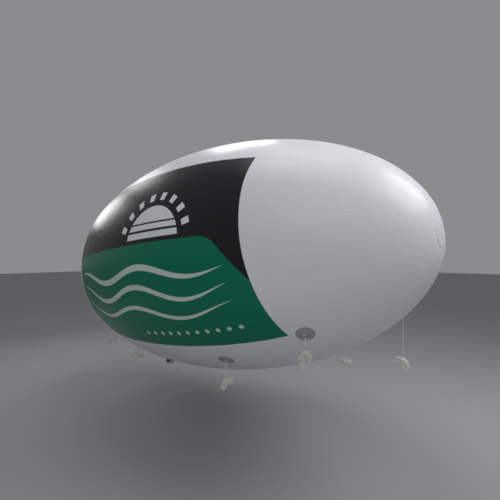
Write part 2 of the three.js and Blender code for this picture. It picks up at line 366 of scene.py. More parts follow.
# A whole tether rope below its ring's bar: straight down, aside into the tie, round the hank's turns
# and out again as a short tail. Points are relative to the tie, x along the hank, y in its depth,
# and all are turned about the vertical in the end.
def tetherRoute(row, bar, tie, outside):
    start = tetherRows.index(row) * rope["rowStart"]
    count = int(np.ceil(row["turns"]))
    depths = outside * (np.arange(count + 1) - (count - 1) / 2.0) * rope["pitch"]
    top = bar[2] - rope["startBelowBar"] - tie[2]
    first = depths[0]
    rise = first * np.tan(np.radians(rope["stackTilt"]))
    gap = rope["strandGap"]
    parts = [np.array([
        (0.0, 0.0, top),
        (0.0, 0.0, 60.0 * mm),
        (-3.0 * mm, first * 0.3, 42.0 * mm),
        (-10.0 * mm, first * 0.8, 30.0 * mm),
        (-17.0 * mm, first, rise + 21.0 * mm),
        (-19.0 * mm, first, rise + 13.0 * mm),
        (-15.0 * mm, first, rise + 5.0 * mm),
        (-8.0 * mm, first, rise + gap + 0.5 * mm),
        (-2.0 * mm, first, rise + gap),
    ])]
    halves = int(round(2 * row["turns"]))
    for half in range(halves):
        turn = half // 2
        side = 1 if half % 2 == 0 else -1
        droop, reach = row["right"] if side == 1 else row["left"]
        swing = 2.0 * loopShare(start, turn, side, rope["swingSteps"]) - 1.0
        droop = np.radians(droop + row["swing"] * swing)
        reach = reach * mm * (1.0 - rope["shorter"] * loopShare(start, turn, side, rope["reachSteps"]))
        ending = depths[turn] if side == 1 else depths[turn + 1]
        parts.append(hankLoop(side, droop, reach, depths[turn], ending))
    last = depths[halves // 2]
    rise = last * np.tan(np.radians(rope["stackTilt"]))
    out = last + outside * 9.0 * mm
    tail = row["tail"] * mm
    onward = 1.0 if halves % 2 == 0 else -1.0
    parts.append(np.array([
        (onward * 8.0 * mm, last, rise - gap),
        (onward * 17.0 * mm, last + outside * 3.0 * mm, rise - gap - 5.0 * mm),
        (onward * 20.0 * mm, out - outside * 2.0 * mm, rise - 18.0 * mm),
        (onward * 17.0 * mm, out, -30.0 * mm),
        (onward * 13.0 * mm, out, -14.0 * mm - 0.5 * tail),
        (onward * 12.0 * mm, out, -tail),
    ]))
    return hankTurned(evenPath(np.concatenate(parts), rope["step"], rope["blur"])) + tie


jointOf = {joint["child"]: joint for joint in frame["joints"]}
tethers = []
for row in tetherRows:
    joint = jointOf["tether_" + row["name"]]
    bar = np.array(joint["pos_m"], float)
    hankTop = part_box("rope_hank_" + row["name"])[1][2]
    tie = np.array([bar[0], bar[1], hankTop - rope["tieDrop"]])
    outside = -1.0 if bar[1] < 0.0 else 1.0
    route = tetherRoute(row, bar, tie, outside)
    cord = tubePiece("tether_rope_line_" + row["name"], route, rope["diameter"] / 2, rope["sides"],
                     (0.0, 1.0, 0.0))
    tethers.append({"row": row, "name": row["name"], "body": "tether_" + row["name"], "bar": bar,
                    "tie": tie, "axis": unit(np.array(joint["axis"], float)), "route": route,
                    "cord": cord, "seat": hullSeat(bar)})
    print("rope", row["name"], "is", round(runOf(route)[-1], 3), "m long")


# The knots of a tether rope. A turn starts at a bearing in degrees.
ringKnot = {
    "belowBar": 26.0 * mm,      # the middle of the ring's wire
    "coilRadius": 4.6 * mm,     # the rope's line round that wire
    "coilHalf": 4.2 * mm,       # half the coil's width along it
    "coilFrom": -20.0,
    "coilTurns": 1.6,
    "coilPoints": 70,
    "barrelRadius": 5.2 * mm,   # the rope's line round its own standing part
    "barrelTop": -11.0 * mm,
    "barrelFrom": -50.0,
    "barrelTurns": 3.2,
    "barrelPitch": 5.3 * mm,
    "barrelPoints": 110,
    "step": 1.4 * mm,
    "blur": 1.2 * mm,
    "slimmer": 0.02 * mm,       # the knot's rope than the line's, in radius
    "sides": 10,
}
hankTie = {
    "diameter": 2.6 * mm,
    "wraps": 4.5,
    "width": 11.5 * mm,
    "fullness": 2.7,            # 2 is an ellipse, more is squarer
    "from": 0.3,                # in radians
    "step": 1.8 * mm,
    "blur": 1.4 * mm,
    "sides": 8,
}
endKnot = {
    "loop": 2.35 * mm,
    "depth": 2.7 * mm,
    "points": 84,
    "sides": 10,
    "aboveEnd": 13.0 * mm,
}


# A coil round the ring's wire, then a barrel round the standing part, then a short end. u runs along
# the ring's bar, v outwards and w up, from the middle of the ring's wire.
def ringKnotPath(tether):
    knot = ringKnot
    angle = np.radians(knot["coilFrom"] + np.linspace(0.0, 360.0 * knot["coilTurns"], knot["coilPoints"]))
    coil = np.stack([np.linspace(-knot["coilHalf"], knot["coilHalf"], len(angle)),
                     knot["coilRadius"] * np.cos(angle), knot["coilRadius"] * np.sin(angle)], axis=1)
    turned = np.linspace(0.0, 360.0 * knot["barrelTurns"], knot["barrelPoints"])
    angle = np.radians(knot["barrelFrom"] - turned)
    drop = np.linspace(0.0, knot["barrelPitch"] * knot["barrelTurns"], len(angle))
    barrel = np.stack([knot["barrelRadius"] * np.cos(angle), knot["barrelRadius"] * np.sin(angle),
                       knot["barrelTop"] - drop], axis=1)
    out = unit(barrel[-1] * np.array([1.0, 1.0, 0.0]))
    end = np.stack([barrel[-1] + out * 2.5 * mm - upWay * 4.0 * mm,
                    barrel[-1] + out * 5.0 * mm - upWay * 12.0 * mm])
    start = np.array([(0.0, 0.0, -10.0), (-1.4, 1.2, -8.0), (-3.6, 3.6, -4.4)]) * mm
    path = evenPath(np.concatenate([start, coil, barrel, end]), knot["step"], knot["blur"])
    outWay = unit(np.cross(tether["axis"], upWay))
    return tether["bar"] - upWay * knot["belowBar"] + path @ np.stack([tether["axis"], outWay, upWay])


# Twine round the middle of the hank: a coil about the level line through the tie, its section the
# power curve of an ellipse, its centre following the loops as they bend down on either side
def hankTiePath(tether):
    row = tether["row"]
    layers = (np.ceil(row["turns"]) - 1) / 2.0
    points = 60 * int(np.ceil(hankTie["wraps"]))
    turn = hankTie["from"] + np.linspace(0.0, 2.0 * np.pi * hankTie["wraps"], points)
    x = np.linspace(-0.5, 0.5, points) * hankTie["width"]
    power = 2.0 / hankTie["fullness"]
    outer = (rope["diameter"] + hankTie["diameter"]) / 2
    y = (layers * rope["pitch"] + outer) * bent(np.cos(turn), power)
    z = (rope["strandGap"] + outer) * bent(np.sin(turn), power)
    droop = np.radians(np.where(x > 0.0, row["right"][0], row["left"][0]))
    z = z + y * np.tan(np.radians(rope["stackTilt"])) - droop * x ** 2 / (2.0 * rope["bendRun"])
    path = evenPath(np.stack([x, y, z], axis=1), hankTie["step"], hankTie["blur"])
    return tether["tie"] + hankTurned(path)


# An overhand knot's closed line: (sin t + 2 sin 2t, cos t - 2 cos 2t) times the loop size in the two
# level ways, and minus sin 3t times the depth along the rope
def endKnotPath(tether):
    centre = tether["route"][-1] + upWay * endKnot["aboveEnd"]
    loop, depth = endKnot["loop"], endKnot["depth"]
    t = roundAngles(endKnot["points"])
    path = np.stack([loop * (np.sin(t) + 2.0 * np.sin(2.0 * t)), loop * (np.cos(t) - 2.0 * np.cos(2.0 * t)),
                     -depth * np.sin(3.0 * t)], axis=1)
    return centre + path


for tether in tethers:
    name, radius = tether["name"], rope["diameter"] / 2
    tether["ringKnot"] = tubePiece("ring_knot_" + name, ringKnotPath(tether), radius - ringKnot["slimmer"],
                                   ringKnot["sides"], (0.31, 0.17, 0.93))
    tether["tieLine"] = tubePiece("hank_tie_" + name, hankTiePath(tether), hankTie["diameter"] / 2,
                                  hankTie["sides"], (1.0, 0.0, 0.0))
    tether["endKnot"] = tubePiece("end_knot_" + name, endKnotPath(tether), radius, endKnot["sides"],
                                  (0.0, 0.0, 1.0), closed=True)
print("ropes, knots and ties made")


# Rings: a straight bar on top, rounded into straight sides and a half circle below
ringShape = {
    "wire": 2.0 * mm,
    "halfWidth": 17.0 * mm,
    "corner": 4.0 * mm,
    "side": 9.0 * mm,
    "weldSwell": 0.17,          # how much thicker the wire is at its weld
    "weldReach": 2.4 * mm,
    "sides": 16,
}


def ringPath(tether):
    half, corner, side = ringShape["halfWidth"], ringShape["corner"], ringShape["side"]
    turn = np.linspace(0.0, np.pi / 2, 9)
    bow = np.linspace(0.0, np.pi / 2, 26)
    bar = np.linspace(0.0, half - corner, 12)[:-1]
    u = np.concatenate([bar, half - corner + corner * np.sin(turn), half * np.cos(bow)])
    w = np.concatenate([0.0 * bar, -corner + corner * np.cos(turn), -side - half * np.sin(bow)])
    u = np.concatenate([u, -u[-2:0:-1]])
    w = np.concatenate([w, w[-2:0:-1]])
    return tether["bar"] + u[:, None] * tether["axis"] + w[:, None] * upWay


for tether in tethers:
    path = ringPath(tether)
    fromBar = np.linalg.norm(path - tether["bar"], axis=1)
    swell = 1.0 + ringShape["weldSwell"] * np.exp(-(fromBar / ringShape["weldReach"]) ** 2)
    tether["ring"] = tubePiece("tether_ring_wire_" + tether["name"], path, ringShape["wire"],
                               ringShape["sides"], np.cross(tether["axis"], upWay), closed=True, swell=swell)
print("rings made")


# A profile of pairs in mm, radius and lift, with more points put in so that no step is too long
def fineProfile(profile, step):
    profile = np.asarray(profile, float) * mm
    rows = []
    for a, b in zip(profile[:-1], profile[1:]):
        count = max(int(np.ceil((b[0] - a[0]) / step)), 1)
        rows.append(a + (b - a) * np.linspace(0.0, 1.0, count, endpoint=False)[:, None])
    return np.concatenate(rows + [profile[-1:]])


# Round pieces welded on the film: a disc draped over the hull. Its profile gives the lift at a
# number of radii, the last below the film so that no gap shows under the rim.
def weldedDisc(name, foot, level, slope, profile, sides, open=False, waves=0.0):
    rows = fineProfile(profile, 5.0 * mm)
    angle = roundAngles(sides)
    ways = np.cos(angle)[:, None] * level + np.sin(angle)[:, None] * slope
    flat = foot + rows[:, 0, None, None] * ways
    ripple = 1.0 + waves * np.sin(5.0 * angle + 1.0) * np.sin(3.0 * angle)
    grid = drape(flat, rows[:, 1, None] * ripple)
    return surfaceMesh(name, grid, around=True, poles=(not open, False), centre=(0.0, 0.0, 0.0),
                       uvAround=np.arange(sides + 1) / sides, uvAlong=rows[:, 0])


# Tether patches: a disc of film with a smaller stiffening disc on it. Pairs are radius and lift in mm.
patch = {
    "profile": [(1.0, 3.0), (44.0, 3.0), (46.6, 2.9), (47.8, 2.4), (48.3, 1.7), (70.0, 1.6), (72.2, 1.9),
                (74.0, 1.6), (75.0, 0.8), (75.3, -1.0)],
    "sides": 96,
    "top": 3.0 * mm,
}
# The webbing tabs and the stitches in them
tab = {
    "length": 60.0 * mm,
    "width": 26.0 * mm,
    "thickness": 1.6 * mm,
    "gap": 0.15 * mm,           # above the patch
    "eyeRadius": 3.15 * mm,
    "sides": 32,
}
stitch = {
    "length": 2.7 * mm,
    "radius": 0.42 * mm,
    "sides": 6,
    "pitch": 3.7 * mm,
    "lift": 0.25 * mm,          # its middle above the strap
    "boxFrom": 13.0 * mm,
    "boxTo": 27.5 * mm,
    "boxHalf": 10.0 * mm,
}


# Local places on a patch, w along the level, s down the slope and n off the film, put on the hull
def onSeat(seat, local):
    flat = seat["foot"] + local[..., 0:1] * seat["level"] + local[..., 1:2] * seat["slope"]
    return drape(flat, local[..., 2])


def tabGrid(seat):
    flat = patch["top"] + tab["thickness"] / 2 + tab["gap"]
    high = seat["height"]
    arc = np.radians(np.linspace(214.0, 90.0, 20))
    eye = np.stack([tab["eyeRadius"] * np.cos(arc), high + tab["eyeRadius"] * np.sin(arc)], axis=1)
    left = np.array([(-tab["length"] / 2, flat), (-12.0 * mm, flat), (-5.0 * mm, flat + 0.2 * mm),
                     (-2.0 * mm, flat + 2.0 * mm), (-1.6 * mm, high - 4.8 * mm)])
    half = np.concatenate([left, eye])
    whole = np.concatenate([half, half[-2::-1] * np.array([-1.0, 1.0])])
    path = evenPath(np.stack([np.zeros(len(whole)), whole[:, 0], whole[:, 1]], axis=1), 0.9 * mm, 0.8 * mm)
    local = sweptGrid(path, strapOutline(tab["width"], tab["thickness"], tab["sides"]), (1.0, 0.0, 0.0))
    return onSeat(seat, local), runOf(path)


# Points at equal steps from one corner of a polyline to the next, with the way of each
def stitchRow(corners):
    places, ways = [], []
    for a, b in zip(corners[:-1], corners[1:]):
        run = np.linalg.norm(b - a)
        count = max(int(round(run / stitch["pitch"])), 1)
        places.append(a + (b - a) * ((np.arange(count) + 0.5) / count)[:, None])
        ways.append(np.repeat([(b - a) / run], count, axis=0))
    return np.concatenate(places), np.concatenate(ways)


# Stitches are one mesh: a small six-sided grain of thread, copied to each place by adding the
# stitch's place to the grain turned into its way
def stitchPiece(name, seat):
    near, far, wide = stitch["boxFrom"], stitch["boxTo"], stitch["boxHalf"]
    box = np.array([(-wide, near), (wide, near), (wide, far), (-wide, far), (-wide, near)])
    cross = [np.array([(-wide, near), (wide, far)]), np.array([(wide, near), (-wide, far)])]
    rows = [stitchRow(corners) for corners in [box] + cross]
    places = np.concatenate([row[0] for row in rows])
    ways = np.concatenate([row[1] for row in rows])
    places = np.concatenate([places, places * np.array([1.0, -1.0])])
    ways = np.concatenate([ways, ways * np.array([1.0, -1.0])])
    across = np.stack([-ways[:, 1], ways[:, 0]], axis=1)
    share = np.array([-1.0, -0.8, 0.0, 0.8, 1.0])
    thick = np.array([0.12, 0.75, 1.0, 0.75, 0.12])
    angle = roundAngles(stitch["sides"])
    alongGrain = (share * stitch["length"] / 2)[:, None] + 0.0 * angle
    sideGrain = thick[:, None] * np.cos(angle) * stitch["radius"]
    liftGrain = thick[:, None] * np.sin(angle) * stitch["radius"]
    lift = patch["top"] + tab["thickness"] + stitch["lift"]
    flat = (places[:, None, None] + alongGrain[None, :, :, None] * ways[:, None, None]
            + sideGrain[None, :, :, None] * across[:, None, None])
    local = np.concatenate([flat, lift + liftGrain[None, :, :, None] + 0.0 * flat[..., :1]], axis=-1)
    points = onSeat(seat, local).reshape(-1, 3)
    sides, each = stitch["sides"], len(share) * stitch["sides"]
    starts = np.arange(len(places))[:, None] * each
    faces = (starts[..., None] + cellCorners(len(share), sides, around=True)[1]).reshape(-1, 4)
    caps = np.concatenate([starts + np.arange(sides - 1, -1, -1), starts + each - sides + np.arange(sides)])
    return makePiece(name, points, faces.tolist() + caps.tolist())


for tether in tethers:
    name, seat = tether["name"], tether["seat"]
    tether["patch"] = weldedDisc("tether_patch_disc_" + name, seat["foot"], seat["level"], seat["slope"],
                                 patch["profile"], patch["sides"], waves=0.12)
    grid, run = tabGrid(seat)
    tether["tab"] = surfaceMesh("tether_tab_strap_" + name, grid, around=True, poles=(True, True),
                                uvAlong=run)
    tether["stitches"] = stitchPiece("tab_stitches_" + name, seat)
print("patches, tabs and stitches made")


# Gores: twelve strips of film, each lying with its edge over the next one's
gore = {
    "rows": 288,
    "spans": 30,
    "endAt": 62.0 * mm,        # along the meridian from the hull's tip, under the caps
    "under": 10.0 * mm,        # how far one edge runs on under the film before
    "over": (10.8, 11.6, 12.0, 12.15),    # and the other edge over the next film, in mm
    "edgeDips": (0.5, 0.25, 0.9),         # of the first column and of the last two, in mm
    "filmStep": 0.5 * mm,      # how high the upper film lies in a seam
    "stepRun": 5.0 * mm,
    "pillow": 2.2 * mm,        # how far the film swells between two seams
    "pucker": 0.6 * mm,
    "puckerWidth": 85.0 * mm,
    "puckerWaves": ((0.105, 0.30), (0.17, 0.55), (0.23, 0.5), (0.41, 0.4)),    # length and weight
    "ripple": 0.55 * mm,
    # waves round the hull, waves in a radian of its turn, weight
    "rippleWaves": ((3, 5.0, 0.9), (4, -7.0, 0.8), (5, 11.0, 0.6), (7, -9.0, 0.5), (8, 16.0, 0.35),
                    (11, 4.0, 0.4), (2, 19.0, 0.3)),
    "calmPatch": 78.0 * mm,    # the film is smooth as far as this from the middle of a patch,
    "calmCollar": 88.0 * mm,   # of the collar
    "calmCap": 112.0 * mm,     # and of a cap,
    "calmRun": 110.0 * mm,     # and gets uneven over this run
    "uvWidth": 0.65,
    "seed": 5,
}
waveDraws = np.random.default_rng(gore["seed"])
puckerPhase = waveDraws.uniform(0.0, 2.0 * np.pi, (hull["goreCount"], len(gore["puckerWaves"])))
ripplePhase = waveDraws.uniform(0.0, 2.0 * np.pi, len(gore["rippleWaves"]))


# Gathers along one seam: four sines of the length along it, stronger towards the hull's ends
def puckerAt(seam, length):
    phase = puckerPhase[seam % hull["goreCount"]]
    waves = sum(weight * np.sin(2.0 * np.pi * length / wave + phase[k])
                for k, (wave, weight) in enumerate(gore["puckerWaves"]))
    return gore["pucker"] * (0.55 + 1.5 * np.abs(2.0 * length / meridianLength - 1.0) ** 1.6) * waves


# Slow unevenness of the whole hull, the same for both films at a seam: sines of the turn along it
# and of whole numbers of waves round it
def rippleAt(turn, clock):
    return gore["ripple"] * sum(weight * np.sin(waves * clock + along * turn + ripplePhase[k])
                                for k, (waves, along, weight) in enumerate(gore["rippleWaves"]))


# How much of the film's unevenness is left at each point: none on the flat spots, which are pairs of
# a place and a radius, and all of it past the calm run, with an S between
def unevenShare(points):
    left = np.ones(points.shape[:-1])
    for place, radius in flatSpots:
        left = left * eased((np.linalg.norm(points - place, axis=-1) - radius) / gore["calmRun"])
    return left


# One gore: columns run across it and rows along it. Its lift off the hull is a pillow between the
# seams, gathers at both of them, the hull's unevenness, and a step up onto the next film.
def gorePiece(index):
    length = np.linspace(gore["endAt"], meridianLength - gore["endAt"], gore["rows"])
    turn = turnAt(length)[:, None]
    radius = hull["radius"] * np.sin(turn)
    half = radius * np.pi / hull["goreCount"]
    share = np.sin(np.pi / 2 * np.linspace(-1.0, 1.0, gore["spans"] + 1))
    w = np.concatenate([-half - gore["under"], half * share, half + np.array(gore["over"]) * mm], axis=1)
    swell = gore["pillow"] * np.clip(1.0 - (w / half) ** 2, 0.0, 1.0) * np.sin(turn) ** 0.5
    fade = [np.exp(-((w + way * half) / gore["puckerWidth"]) ** 2) for way in (1.0, -1.0)]
    pucker = fade[0] * puckerAt(index - 1, length)[:, None] + fade[1] * puckerAt(index, length)[:, None]
    clock = 2.0 * np.pi / hull["goreCount"] * index + w / radius
    lift = unevenShare(hullPoint(turn, clock)) * (swell + pucker + rippleAt(turn, clock))
    lift += gore["filmStep"] * eased((w - half) / gore["stepRun"] + 1.0)
    lift[:, [0, -2, -1]] -= np.array(gore["edgeDips"]) * mm
    grid = hullPoint(np.broadcast_to(turn, w.shape), clock, lift)
    piece = surfaceMesh("gore_film_%02d" % (index + 1), grid, centre=(0.0, 0.0, 0.0),
                        uvAround=np.linspace(0.0, gore["uvWidth"], w.shape[1]), uvAlong=length)
    seam = piece.data.attributes.new("seamDistance", "FLOAT", "POINT")
    toSeam = np.minimum(np.abs(w - half), np.abs(w + half))
    seam.data.foreach_set("value", toSeam.astype(np.float32).ravel())
    across = np.linalg.norm(np.diff(grid, axis=1), axis=2)
    down = np.linalg.norm(np.diff(grid, axis=0), axis=2)
    area = ((across[1:] + across[:-1]) / 2 * (down[:, 1:] + down[:, :-1]) / 2).sum()
    return piece, (float(across.sum(1).max()), float(length[-1] - length[0])), float(area)


# Caps: discs over the gores' narrow ends
cap = {
    "profile": [(0.5, 2.2), (30.0, 2.2), (101.0, 2.0), (104.0, 2.2), (108.0, 1.9), (110.0, 1.1),
                (110.4, -1.0)],
    "step": 4.3 * mm,
    "gathers": ((0.35 * mm, 12.0, 0.0), (0.2 * mm, 31.0, 1.0)),    # height, waves round it, phase
    "fullAt": 80.0 * mm,       # the gathers grow from the middle out to here
    "rimAt": 104.0 * mm,       # and get lower past here
    "rimShare": 0.3,
    "sides": 120,
}


# A cap is laid out from the hull's tip: radii are lengths along the film, and small gathers run out
# from the middle, the lift's sines of whole numbers of waves round it
def capPiece(name, atNose):
    reach, lift = fineProfile(cap["profile"], cap["step"]).T
    turn = turnAt(meridianLength - reach if atNose else reach)
    clock = roundAngles(cap["sides"])
    gather = sum(height * np.sin(waves * clock + phase) for height, waves, phase in cap["gathers"])
    share = np.clip(reach / cap["fullAt"], 0.0, 1.0) ** 2
    share = share * np.where(reach < cap["rimAt"], 1.0, cap["rimShare"])
    grid = hullPoint(turn[:, None], clock, lift[:, None] + share[:, None] * gather)
    return surfaceMesh(name, grid, around=True, poles=(True, False), centre=(0.0, 0.0, 0.0),
                       uvAround=np.arange(cap["sides"] + 1) / cap["sides"], uvAlong=reach)


noseCap = capPiece("nose_cap_disc", True)
tailCap = capPiece("tail_cap_disc", False)
print("caps made")


# The filling sleeve: a soft tube of film out of the hull, bent towards the near side, with a hem
sleeve = {
    "station": -0.32,
    "clock": np.radians(174.0),
    "turned": np.radians(20.0),    # from the near side towards the nose
    "startInside": 22.0 * mm,
    "standOff": 60.0 * mm,
    "run": 120.0 * mm,
    "radius": 39.0 * mm,
    "wall": 1.2 * mm,
    "bend": 21.0 * mm,             # the rounding of the elbow's line
    "elbowAt": 82.0 * mm,          # along the tube from its start, as the lengths below
    "crease": 5.0 * mm,
    "creaseWave": 15.0 * mm,
    "creaseReach": 30.0 * mm,
    "oval": 0.06,
    "ovalFrom": 95.0 * mm,
    "ovalRun": 90.0 * mm,
    "slack": ((0.9 * mm, 3.0, 19.0 * mm), (0.5 * mm, 7.0, -11.0 * mm)),    # height, waves round, slant
    "slackFrom": 30.0 * mm,
    "slackRun": 40.0 * mm,
    "step": 1.7 * mm,
    "sides": 112,
}
hem = {
    "width": 17.0 * mm,            # a thick rolled edge that narrows the mouth
    "past": 1.0 * mm,              # how far it reaches past the tube's end
    "out": 4.4 * mm,
    "in": 10.0 * mm,
    "flat": 8.0 * mm,              # how much further it reaches in above and below the hole
    "roundness": 0.8,
    "sides": 28,
}
collar = {
    "profile": [(38.5, 5.0), (39.6, 4.2), (41.5, 2.2), (44.0, 1.7), (80.0, 1.6), (82.4, 1.9), (84.2, 1.5),
                (85.0, 0.7), (85.3, -1.0)],
    "sides": 112,
}
sleeveTurn = np.arccos(-sleeve["station"])
sleeveFoot = hullPoint(sleeveTurn, sleeve["clock"])
sleeveNormal = hullNormal(sleeveTurn, sleeve["clock"])
sleeveCorner = sleeveFoot + sleeveNormal * sleeve["standOff"]
mouthWay = np.array([np.sin(sleeve["turned"]), -np.cos(sleeve["turned"]), 0.0])
sleeveMouth = sleeveCorner + mouthWay * sleeve["run"]
sleeveLine = evenPath(np.stack([sleeveFoot - sleeveNormal * sleeve["startInside"], sleeveCorner,
                                sleeveMouth]), 1.5 * mm, sleeve["bend"])
sleeveRun = runOf(sleeveLine)


# The sleeve's skin at runs along its line and all angles round it, lifted by a column or a grid. Its
# radius is made oval towards the mouth and pulled in by creases, a raised cosine along the line, on
# the inside of the elbow, and slack film adds slanting waves.
def sleeveSkin(run, lift):
    line = pointsAt(run, sleeveRun, sleeveLine)
    way = unit(pointsAt(run, sleeveRun, unit(np.gradient(sleeveLine, axis=0))))
    level = np.cross(mouthWay, upWay)
    side = unit(level - (way @ level)[:, None] * way)
    other = np.cross(way, side)
    inward = unit(mouthWay - sleeveNormal)
    towards = np.arctan2(other @ inward, side @ inward)[:, None]
    angle = roundAngles(sleeve["sides"])
    run = run[:, None]
    pastElbow = run - sleeve["elbowAt"]
    fold = 0.5 + 0.5 * np.cos(2.0 * np.pi * pastElbow / sleeve["creaseWave"])
    fold = fold * np.exp(-(pastElbow / sleeve["creaseReach"]) ** 2)
    facing = np.clip(np.cos(angle - towards), 0.0, 1.0) ** 1.3
    oval = sleeve["oval"] * np.clip((run - sleeve["ovalFrom"]) / sleeve["ovalRun"], 0.0, 1.0)
    slack = sum(height * np.sin(waves * angle + run / slant) for height, waves, slant in sleeve["slack"])
    slack = slack * np.clip((run - sleeve["slackFrom"]) / sleeve["slackRun"], 0.0, 1.0)
    radius = sleeve["radius"] * (1.0 + oval * np.cos(2.0 * angle))
    radius = radius - sleeve["crease"] * fold * facing + slack + lift
    ways = np.cos(angle)[None, :, None] * side[:, None] + np.sin(angle)[None, :, None] * other[:, None]
    return line[:, None] + radius[:, :, None] * ways


sleeveOut = np.arange(0.0, sleeveRun[-1], sleeve["step"])
sleeveIn = sleeveOut[::-2]
sleeveGrid = sleeveSkin(np.concatenate([sleeveOut, sleeveIn]),
                        np.concatenate([0.0 * sleeveOut, 0.0 * sleeveIn - sleeve["wall"]])[:, None])
sleevePiece = surfaceMesh("filling_sleeve_tube", sleeveGrid, around=True, along=True)

# The hem's section is an oblong with round edges, and its inner side is flatter above and below
hemTurn = roundAngles(hem["sides"])
hemRuns = (sleeveRun[-1] + hem["past"]
           - hem["width"] / 2 * (1.0 - bent(np.cos(hemTurn), hem["roundness"])))
hemLift = (hem["out"] - hem["in"] + (hem["out"] + hem["in"]) * bent(np.sin(hemTurn), hem["roundness"])) / 2
hemFlat = np.clip(-np.sin(hemTurn), 0.0, 1.0)[:, None] * np.sin(roundAngles(sleeve["sides"])) ** 2
hemPiece = surfaceMesh("sleeve_hem_band", sleeveSkin(hemRuns, hemLift[:, None] - hem["flat"] * hemFlat),
                       around=True, along=True)
sleeveLevel = unit(np.cross(sleeveNormal, upWay))
collarPiece = weldedDisc("sleeve_collar_disc", sleeveFoot, sleeveLevel, np.cross(sleeveNormal, sleeveLevel),
                         collar["profile"], collar["sides"], open=True, waves=0.1)
print("sleeve made")

flatSpots = [(tether["seat"]["foot"], gore["calmPatch"]) for tether in tethers]
flatSpots += [(sleeveFoot, gore["calmCollar"])]
flatSpots += [(hullPoint(tip, 0.0), gore["calmCap"]) for tip in (0.0, np.pi)]
gores = [gorePiece(index) for index in range(hull["goreCount"])]
print("gores made, film area", round(sum(area for _, _, area in gores), 2), "square metres")


# Shader helpers. A value is a number or another node's socket.
def feed(tree, node, inputs):
    for key, value in inputs.items():
        if isinstance(value, bpy.types.NodeSocket):
            tree.links.new(value, node.inputs[key])
        else:
            node.inputs[key].default_value = value
    return node


def put(tree, kind, inputs=None, **settings):
    node = tree.nodes.new(kind)
    for key, value in settings.items():
        setattr(node, key, value)
    return feed(tree, node, inputs or {})


# The tree that some values are in, from the first socket among them
def treeOf(*values):
    return next(value.id_data for value in values if isinstance(value, bpy.types.NodeSocket))


def calc(operation, *values):
    inputs = dict(enumerate(values))
    return put(treeOf(*values), "ShaderNodeMath", inputs, operation=operation).outputs[0]


def plus(first, *others):
    for other in others:
        first = calc("ADD", first, other)
    return first


def minus(first, second):
    return calc("SUBTRACT", first, second)


def times(first, *others):
    for other in others:
        first = calc("MULTIPLY", first, other)
    return first


# A value times a factor, and something added
def scaled(value, factor, added):
    return calc("MULTIPLY_ADD", value, factor, added)


def farness(x, y):
    return calc("SQRT", plus(times(x, x), times(y, y)))


# 0 below the first value, 1 above the second, an S between
def softStep(value, low, high):
    return put(treeOf(value), "ShaderNodeMapRange", {"Value": value, "From Min": low, "From Max": high},
               interpolation_type="SMOOTHSTEP").outputs["Result"]


# The same about a place, with half of the S on each side. A negative half falls from 1 to 0.
def edgeAt(value, place, half):
    return softStep(value, place - half, place + half)


def mixedColour(factor, first, second, way="MIX"):
    return put(treeOf(factor, first, second), "ShaderNodeMix", {0: factor, 6: first, 7: second},
               data_type="RGBA", blend_type=way).outputs[2]


# A colour darkened by a shade, which is 1 where the colour stays as it is
def shaded(colour, shade, blue=1.0):
    shades = put(treeOf(shade), "ShaderNodeCombineColor", {0: shade, 1: shade, 2: times(shade, blue)})
    return mixedColour(1.0, colour, shades.outputs[0], "MULTIPLY")


def noise(place, scale, detail=2.0, roughness=0.5):
    return put(treeOf(place), "ShaderNodeTexNoise", {"Vector": place, "Scale": scale, "Detail": detail,
                                                     "Roughness": roughness}).outputs["Fac"]


# A group that gives a colour, a roughness and a height. Among its inputs a tuple is a colour, a number
# a plain value and None a place.
def newGroup(name, inputs):
    group = bpy.data.node_groups.new(name, "ShaderNodeTree")
    kinds = {tuple: "NodeSocketColor", float: "NodeSocketFloat", type(None): "NodeSocketVector"}
    for label, value in inputs.items():
        socket = group.interface.new_socket(label, in_out="INPUT", socket_type=kinds[type(value)])
        if value is not None:
            socket.default_value = value
    group.interface.new_socket("Colour", in_out="OUTPUT", socket_type="NodeSocketColor")
    group.interface.new_socket("Roughness", in_out="OUTPUT", socket_type="NodeSocketFloat")
    group.interface.new_socket("Height", in_out="OUTPUT", socket_type="NodeSocketFloat")
    return group, group.nodes.new("NodeGroupInput").outputs


def closeGroup(group, colour, rough, height):
    feed(group, group.nodes.new("NodeGroupOutput"), {"Colour": colour, "Roughness": rough, "Height": height})
    return group


# Film: slow unevenness, scuffs that change the gloss, weld bands beside the seams and small gathers
# that run out from them, and a thin painted shadow along each band's outer edge. Place is in metres,
# and Seam is the distance to the nearest seam. A scale is in waves to the metre, a pair is what a noise is
# multiplied by and what is added.
filmTouches = {
    "cloudScale": 2.3,
    "cloudShade": (0.07, -0.015),
    "cloudGloss": (0.08, -0.04),
    "scuffScale": 14.0,
    "scuffRange": (0.45, 0.75),
    "scuffGloss": 0.06,
    "bandFrom": 1.35 * mm,
    "bandTo": 12.15 * mm,
    "bandBlur": 0.35 * mm,
    "bandShade": 0.012,
    "bandGloss": 0.06,
    "bandHeight": -0.12 * mm,
    # The thin dark line below is a painted shadow where the upper film's edge lies on the next film
    "edgeFrom": 12.2 * mm,       # a thin dark line along the band's outer edge
    "edgeHalf": 1.0 * mm,
    "edgeBlur": 0.6 * mm,
    "paintedEdgeShadow": 0.022,
    "gatherScale": 17.0,
    "gatherReach": 75.0 * mm,
    "gatherHeight": 0.9 * mm,
    "swellScale": 5.2,
    "swellHeight": 1.6 * mm,
    "grainScale": 240.0,
    "grainHeight": 0.006 * mm,
    "weavePitch": 2.8 * mm,
    "weaveHeight": 0.07 * mm,
}


